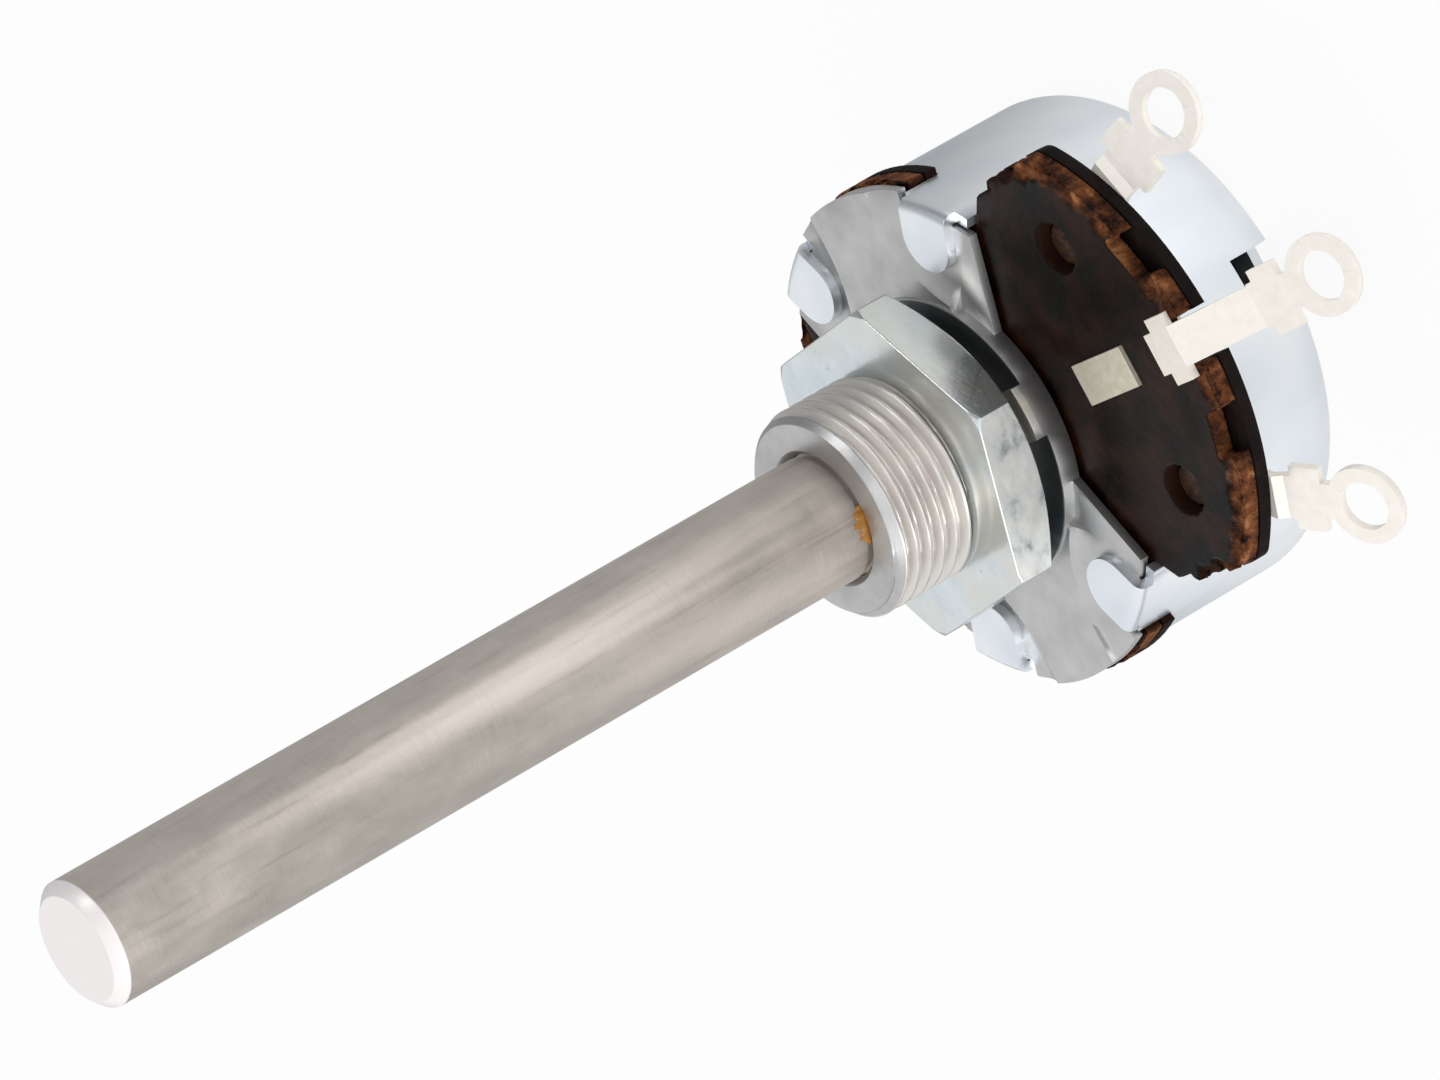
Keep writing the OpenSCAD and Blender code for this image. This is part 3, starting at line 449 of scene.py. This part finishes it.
def soften(piece, width_mm):
    """Welds the piece's seams and bevels each corner sharper than 30 degrees."""
    weld = piece.modifiers.new("weld", "WELD")
    weld.merge_threshold = SAME_POINT
    edge = piece.modifiers.new("soft_edge", "BEVEL")
    edge.width = width_mm * MM
    edge.segments = 2
    edge.limit_method = "ANGLE"
    edge.angle_limit = math.radians(30)
    edge.harden_normals = True
    edge.use_clamp_overlap = True


for name, width in EDGE_MM.items():
    soften(nodes[name], width)
print("softened:", ", ".join(EDGE_MM))

# %% [markdown]
# The bushing of the solid is a plain cylinder. A thread is one groove that climbs as it goes round: at every
# point of the surface, the height along the axis plus the angle tells how deep the groove is. The pitch is
# 0.75 mm and the groove is 0.4 mm deep, as on a fine metric thread. Crest and root each have a narrow flat,
# and at the mouth a bevel cuts the thread down.

# %% The thread's shape
PITCH, DEPTH, BUSH_R, BUSH_TOP = 0.75, 0.4, 5.0, 8.0
HALF_FLAT = 0.08
MOUTH_R, MOUTH_SLOPE = 4.56, 0.98


def clamp(value, low=0.0, high=1.0):
    """The value, held between low and high."""
    return min(max(value, low), high)


def thread_radius(angle, z):
    """Radius of the thread in millimetres, with the bevel at the mouth."""
    phase = (z / PITCH - angle / (2 * math.pi)) % 1.0
    flank = clamp((abs(phase - 0.5) - HALF_FLAT) / (0.5 - 2 * HALF_FLAT))
    return min(BUSH_R - DEPTH * flank, MOUTH_R + (BUSH_TOP - z) * MOUTH_SLOPE)


print("turns of thread:", round(BUSH_TOP / PITCH, 1))

# %% [markdown]
# To lay the thread on, we copy the casting, take off the plain skin of the bushing, and put a fine grid of
# points there whose radius follows the thread. The grid's first row tucks under the face that the nut sits
# on, and its last two rows close the mouth. The copy replaces the solid in the picture.

# %% The threaded casting
TURN_STEPS, ROWS = 180, 200
LIP_R, SKIN_FROM_R, BEVEL_FROM = 4.45, 4.4, 7.0


def is_skin(face):
    """True for a face of the bushing's outer wall or bevel, but not of its flat mouth."""
    radii = [math.hypot(v.co.x, v.co.y) for v in face.verts]
    height = face.calc_center_median().z
    on_bushing = min(radii) > SKIN_FROM_R * MM and max(radii) < (BUSH_R + 0.02) * MM
    in_front = min(v.co.z for v in face.verts) > -0.001 * MM and height > 0.05 * MM
    return on_bushing and in_front and (abs(face.normal.z) < 0.9 or height < BEVEL_FROM * MM)


def grid_point(row, angle):
    """Radius and height, in millimetres, of the grid's point in this row and at this angle."""
    if row == 0:
        return BUSH_R + 0.03, -0.03
    if row == ROWS + 2:
        return LIP_R, BUSH_TOP - 0.01
    z = min((row - 1) / ROWS, 1.0) * BUSH_TOP
    return thread_radius(angle, z), BUSH_TOP - 0.005 if row == ROWS + 1 else z


def put(name, data):
    """Places a mesh, a camera or a lamp in the scene as an object."""
    thing = bpy.data.objects.new(name, data)
    bpy.context.scene.collection.objects.link(thing)
    return thing


def threaded_casting():
    """The casting with a real thread; also how many faces of plain skin came off."""
    work = bmesh.new()
    work.from_mesh(nodes["mounting_plate"].data)
    bmesh.ops.remove_doubles(work, verts=work.verts, dist=SAME_POINT)
    skin = [face for face in work.faces if is_skin(face)]
    bmesh.ops.delete(work, geom=skin, context="FACES")
    angles = [2 * math.pi * step / TURN_STEPS for step in range(TURN_STEPS)]
    rows = []
    for row in range(ROWS + 3):
        ring = []
        for angle in angles:
            r, z = grid_point(row, angle)
            ring.append(work.verts.new((r * MM * math.cos(angle), r * MM * math.sin(angle), z * MM)))
        rows.append(ring)
    for lower, upper in zip(rows, rows[1:]):
        for step in range(TURN_STEPS):
            after = (step + 1) % TURN_STEPS
            work.faces.new((lower[step], lower[after], upper[after], upper[step]))
    mesh = bpy.data.meshes.new("threaded_casting")
    work.to_mesh(mesh)
    work.free()
    mesh.shade_smooth()
    mesh.materials.append(finishes["mounting_plate"])
    piece = put("threaded_casting", mesh)
    soften(piece, EDGE_MM["mounting_plate"])
    return piece, len(skin)


casting, skinned = threaded_casting()
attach(casting, "housing")
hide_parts("mounting_plate")
print("took off", skinned, "faces, laid", TURN_STEPS * ROWS, "thread faces")

# %% [markdown]
# Punching tears paper laminate. Near the rim the top layer comes away in flakes and the wall is left ragged.
# A bump in the material could only shade that, so the front board gets a fine even mesh, whose points can
# move. It is a copy of the solid, remeshed, so every hole, notch and bump of the board is still there.

# %% The board's even mesh
MESH_STEP = 0.12
APRON_HALF, APRON_SIDES = 10.05, -9.8


def rim_depth(x, y):
    """How far a point lies inside the board's outline, in millimetres. Low down the sides are straight."""
    inside = max(APRON_RADIUS - math.hypot(x, y - APRON_CENTRE), BOARD_RADIUS - math.hypot(x, y))
    return min(inside, APRON_HALF - abs(x)) if y < APRON_SIDES else inside


def even_board():
    """The front board's solid, copied and remeshed with even faces."""
    even = nodes["terminal_board"].copy()
    bpy.context.scene.collection.objects.link(even)
    grid = even.modifiers.new("even_mesh", "REMESH")
    grid.mode = "VOXEL"
    grid.voxel_size = MESH_STEP * MM
    view = bpy.context.evaluated_depsgraph_get()
    mesh = bpy.data.meshes.new_from_object(even.evaluated_get(view))
    bpy.data.objects.remove(even)
    mesh.name = "torn_board"
    mesh.materials.clear()
    mesh.materials.append(finishes["terminal_board"])
    mesh.shade_smooth()
    return mesh


board_mesh = even_board()
print("points on the board:", len(board_mesh.vertices))

# %% [markdown]
# Noise in lumps about a millimetre across decides where flakes come off, and crumbs of half that size
# roughen them. The face sinks in a band along the rim, and the wall is eaten into all the way round, both by
# up to 0.4 mm. Each point keeps how torn it is as an attribute, which the material turns amber.

# %% The torn board
FLAKE_BAND, SOFT_BORDER = 0.75, 0.15
DEEPEST, TOP_LAYER, WALL_ZONE = 0.4, 0.2, 0.3
LUMP, CRUMB = 1.1, 0.45


def tear(mesh):
    """Sinks flakes into the face and bites into the wall; gives back how torn each point is."""
    top = max(v.co.z for v in mesh.vertices) / MM
    normals = [v.normal.copy() for v in mesh.vertices]
    marks = []
    for v, normal in zip(mesh.vertices, normals):
        place = v.co / MM
        inside = rim_depth(place.x, place.y)
        lump, crumb = noise.noise(place / LUMP), noise.noise(place / CRUMB + Vector((7, 0, 0)))
        torn = 0.0
        if normal.z > 0.5 and place.z > top - TOP_LAYER:
            torn = clamp((FLAKE_BAND + 0.75 * lump + 0.2 * crumb - inside) / SOFT_BORDER)
            v.co.z -= torn * clamp(0.15 + 0.15 * lump + 0.22 * crumb, 0.02, DEEPEST) * MM
        elif abs(normal.z) <= 0.5 and inside < WALL_ZONE:
            torn = 1.0
            bite = clamp(0.1 + 0.25 * lump + 0.12 * crumb, 0.0, DEEPEST)
            v.co -= Vector((normal.x, normal.y, 0)) * bite * MM
        marks.append(torn)
    return marks


marks = tear(board_mesh)
board_mesh.attributes.new("torn", "FLOAT", "POINT").data.foreach_set("value", marks)
ragged = put("torn_board", board_mesh)
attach(ragged, "housing")
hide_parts("terminal_board")
print("board faces:", len(board_mesh.polygons), "torn points:", sum(mark > 0 for mark in marks))

# %% [markdown]
# The bushing is packed with damping grease, and a little has crept out where the shaft leaves it. Grease is
# wet, so it is glossier than the metal round it, and it gathers in streaks, brown where it is thick and amber
# where it is thin.

# %% Amber grease


def grease_finish():
    """Wet, brown to amber grease with streaks half a millimetre wide."""
    material, tree, shader, in_mm = start("amber_grease", metallic=0.0, roughness=0.22)
    streak = grain(tree, in_mm, size=0.5)
    tone = add(tree, "ValToRGB", {"Fac": streak}, ((0.3, "#7a4a17"), (0.7, "#c98d3c")))
    relief = add(tree, "Bump", {"Height": streak, "Distance": 0.05 * MM})
    feed(tree, shader, {"Base Color": tone, "Normal": relief})
    return material


grease = grease_finish()
print("finish:", grease.name)

# %% [markdown]
# The smear is a low strip that follows the shaft, thickest in the middle and feathered at both ends. Its
# length wobbles at random, with a fixed seed so that it comes out the same each time. It clings to the
# bushing, so it stays with the housing when the shaft turns.

# %% The smear
SHAFT_RADIUS = 3.0
SMEAR_FROM, SMEAR_TO = 232, 270
SMEAR_FOOT, SMEAR_LENGTH, SMEAR_HEIGHT = 7.8, 0.75, 0.11
STEPS, BANDS = 28, 8


def grease_smear():
    """A feathered strip on the shaft, from the bushing's mouth outwards."""
    maker = random.Random(4)
    wobble = [maker.uniform(0.55, 1.0) for _ in range(STEPS + 1)]
    verts, faces = [], []
    for i in range(STEPS + 1):
        angle = math.radians(SMEAR_FROM + (SMEAR_TO - SMEAR_FROM) * i / STEPS)
        swell = math.sin(math.pi * i / STEPS)
        length = SMEAR_LENGTH * swell ** 0.6 * wobble[i] + 0.05
        for j in range(BANDS + 1):
            across = j / BANDS
            lift = SMEAR_HEIGHT * math.sin(math.pi * min(across * 0.8 + 0.2, 1)) * swell ** 0.5
            r, z = SHAFT_RADIUS + 0.004 + lift, SMEAR_FOOT + length * across
            verts.append((r * MM * math.cos(angle), r * MM * math.sin(angle), z * MM))
    for i in range(STEPS):
        for j in range(BANDS):
            a = i * (BANDS + 1) + j
            faces.append((a, a + BANDS + 1, a + BANDS + 2, a + 1))
    mesh = bpy.data.meshes.new("grease_smear")
    mesh.from_pydata(verts, [], faces)
    mesh.shade_smooth()
    mesh.materials.append(grease)
    return put("grease_smear", mesh)


smear = grease_smear()
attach(smear, "housing")
print("grease faces:", len(smear.data.polygons))

# %% [markdown]
# The stage is a plain white floor under the cover's flat back. White comes from its colour as the camera and
# the mirrors see it, not from more light, so the metal keeps its tones. A little of the real lit floor stays
# in the mix, which is what keeps the shadow. Polished metal would look flat above an even floor. So the
# mirrors see a grey one with soft glowing pools of painted light on it, which paint highlights on the metal,
# each with a centre, a reach in millimetres and a gain, while the camera sees one even white.

# %% The floor
POOLS = (((17, -38, -12.6), 52, 0.85), ((33, -73, -12.6), 52, 0.85), ((49, -110, -12.6), 52, 0.85),
         ((12, -17, -12.6), 22, 0.3), ((-26, -8, -12.6), 34, 0.65))
MIRRORED_GREY = 0.42
EVEN_SHARE = 0.92


def white_floor():
    """Lit board to the lamps, even white to the camera, grey with glowing painted pools to the mirrors."""
    material, tree, shader, in_mm = start("white_studio_floor", metallic=0.0, roughness=0.6)
    feed(tree, shader, {"Base Color": "#f2f2f2"})
    glow = MIRRORED_GREY
    # Each pool is a glowing patch of painted light that only reflections see.
    for centre, reach, gain in POOLS:
        away = add(tree, "VectorMath", {0: in_mm, 1: centre}, operation="DISTANCE").outputs["Value"]
        pool = add(tree, "MapRange", {"Value": away, "From Min": reach, "From Max": 0.0, "To Max": gain},
                   interpolation_type="SMOOTHSTEP")
        glow = add(tree, "Math", {0: glow, 1: pool}, operation="ADD")
    path = add(tree, "LightPath")
    camera_sees, mirror_sees = path.outputs["Is Camera Ray"], path.outputs["Is Glossy Ray"]
    level = add(tree, "MapRange", {"Value": camera_sees, "To Min": glow, "To Max": 1.0})
    seen = add(tree, "Math", {0: camera_sees, 1: mirror_sees}, operation="MAXIMUM")
    share = add(tree, "Math", {0: seen, 1: EVEN_SHARE}, operation="MULTIPLY")
    even = add(tree, "Emission", {"Color": "#ffffff", "Strength": level})
    both = add(tree, "MixShader", {0: share, 1: shader, 2: even})
    feed(tree, tree.nodes["Material Output"], {"Surface": both})
    return material


low = cad_box[0][2]
floor_mesh = bpy.data.meshes.new("floor")
floor_mesh.from_pydata([(-3, -3, low), (3, -3, low), (3, 5, low), (-3, 5, low)], [], [(0, 1, 2, 3)])
floor_mesh.materials.append(white_floor())
put("floor", floor_mesh)
print("floor at", round(low / MM, 2), "mm")

# %% [markdown]
# The camera is a long lens half a metre away, turned so that the shaft runs down to the left. Its place and
# turn are plain numbers: position in millimetres and rotation in degrees.

# %% The camera
lens = bpy.data.cameras.new("camera")
lens.lens = 290.17
lens.sensor_width = 36
lens.clip_start = 0.01
camera = put("camera", lens)
camera.location = Vector((28.14, -436.285, 266.312)) * MM
camera.rotation_euler = [math.radians(a) for a in (-40.6816, 48.6262, -135.379)]
bpy.context.scene.camera = camera
print("camera looks along", [round(-c, 2) for c in camera.rotation_euler.to_matrix().col[2]])

# %% [markdown]
# Metal shows its surroundings, so the light is set up as soft panels at fixed places in the room: a large one
# in front and above, on the lugs' side, a small one high on the right, whose gleam draws the nut's bevels,
# and a large one lower down on the left for the walls of the cover. The room itself is pale on the left and
# darker on the right, which gives round pieces a bright and a dark side.

# %% The lights
AIM = Vector((0, 0, 0.015))


def soft_panel(name, towards, distance, size, watts):
    """A square area light, in metres and watts, that looks back at the part from the direction given."""
    data = bpy.data.lights.new(name, "AREA")
    data.energy = watts
    data.size = size
    panel = put(name, data)
    panel.location = AIM + Vector(towards).normalized() * distance
    panel.rotation_euler = (panel.location - AIM).to_track_quat("Z", "Y").to_euler()


def pale_room():
    """The room as the metal sees it, by direction from left to right; white to the camera."""
    world = bpy.data.worlds.new("pale_room")
    world.use_nodes = True
    tree = world.node_tree
    tree.nodes.clear()
    way = add(tree, "TexCoord").outputs["Generated"]
    side = add(tree, "SeparateXYZ", {0: way}).outputs["X"]
    rightward = add(tree, "MapRange", {"Value": side, "From Min": 0.05, "From Max": 0.75})
    tone = add(tree, "ValToRGB", {"Fac": rightward}, ((0.0, "#f2f3f5"), (0.5, "#b4b6b9"), (1.0, "#85878a")))
    room = add(tree, "Background", {"Color": tone, "Strength": 1.0})
    white = add(tree, "Background", {"Color": "#ffffff", "Strength": 1.0})
    camera_sees = add(tree, "LightPath").outputs["Is Camera Ray"]
    both = add(tree, "MixShader", {0: camera_sees, 1: room, 2: white})
    add(tree, "OutputWorld", {"Surface": both})
    return world


soft_panel("front_panel", (0.1, -0.75, 0.66), distance=0.55, size=0.25, watts=0.25)
soft_panel("edge_panel", (0.68, -0.13, 0.73), distance=0.5, size=0.12, watts=0.3)
soft_panel("side_panel", (-0.75, -0.5, 0.42), distance=0.5, size=0.3, watts=0.7)
bpy.context.scene.world = pale_room()
bpy.context.scene.view_settings.view_transform = "Standard"
